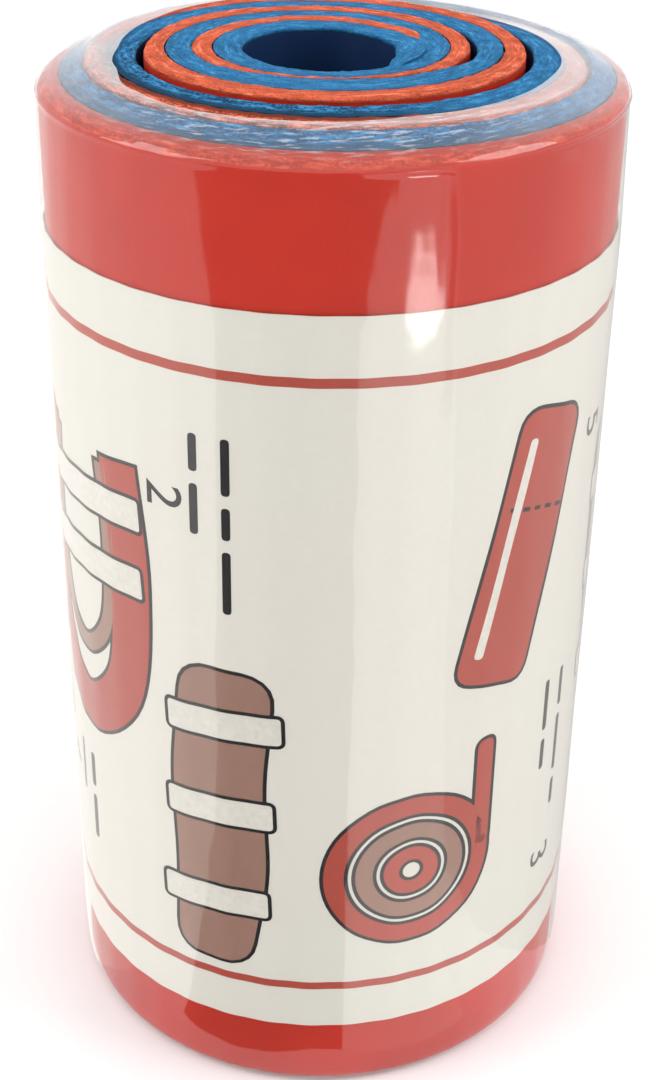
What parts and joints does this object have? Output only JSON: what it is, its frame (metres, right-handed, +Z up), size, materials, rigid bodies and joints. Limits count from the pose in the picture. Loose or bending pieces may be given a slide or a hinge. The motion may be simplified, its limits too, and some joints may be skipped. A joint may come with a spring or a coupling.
{
  "type": "rolled aluminium foam splint",
  "caption": "Mouldable splint: a wide strip of soft aluminium between orange and blue foam, rolled up, with a label band and clear shrink film",
  "frame": {"origin": "middle of the bounding box's lowest face, which is the foot that the roll stands on", "axes": "+Z up along the axis of the roll, -Y the front with the label's pictures, +X to the right of the front; the strip's outer end is at the back"},
  "size_m": [0.0592, 0.0604, 0.1102],
  "materials": {
    "orange_foam": "closed-cell foam, matt",
    "aluminium_sheet": "plain soft sheet",
    "blue_foam": "closed-cell foam, matt",
    "label_paper": "printed, satin",
    "clear_film": "clear, glossy shrink film"
  },
  "bodies": {
    "root": {"orange_foam": "orange_foam", "aluminium_core": "aluminium_sheet", "blue_foam": "blue_foam", "label_band": "label_paper", "clear_film": "clear_film"}
  },
  "joints": []
}
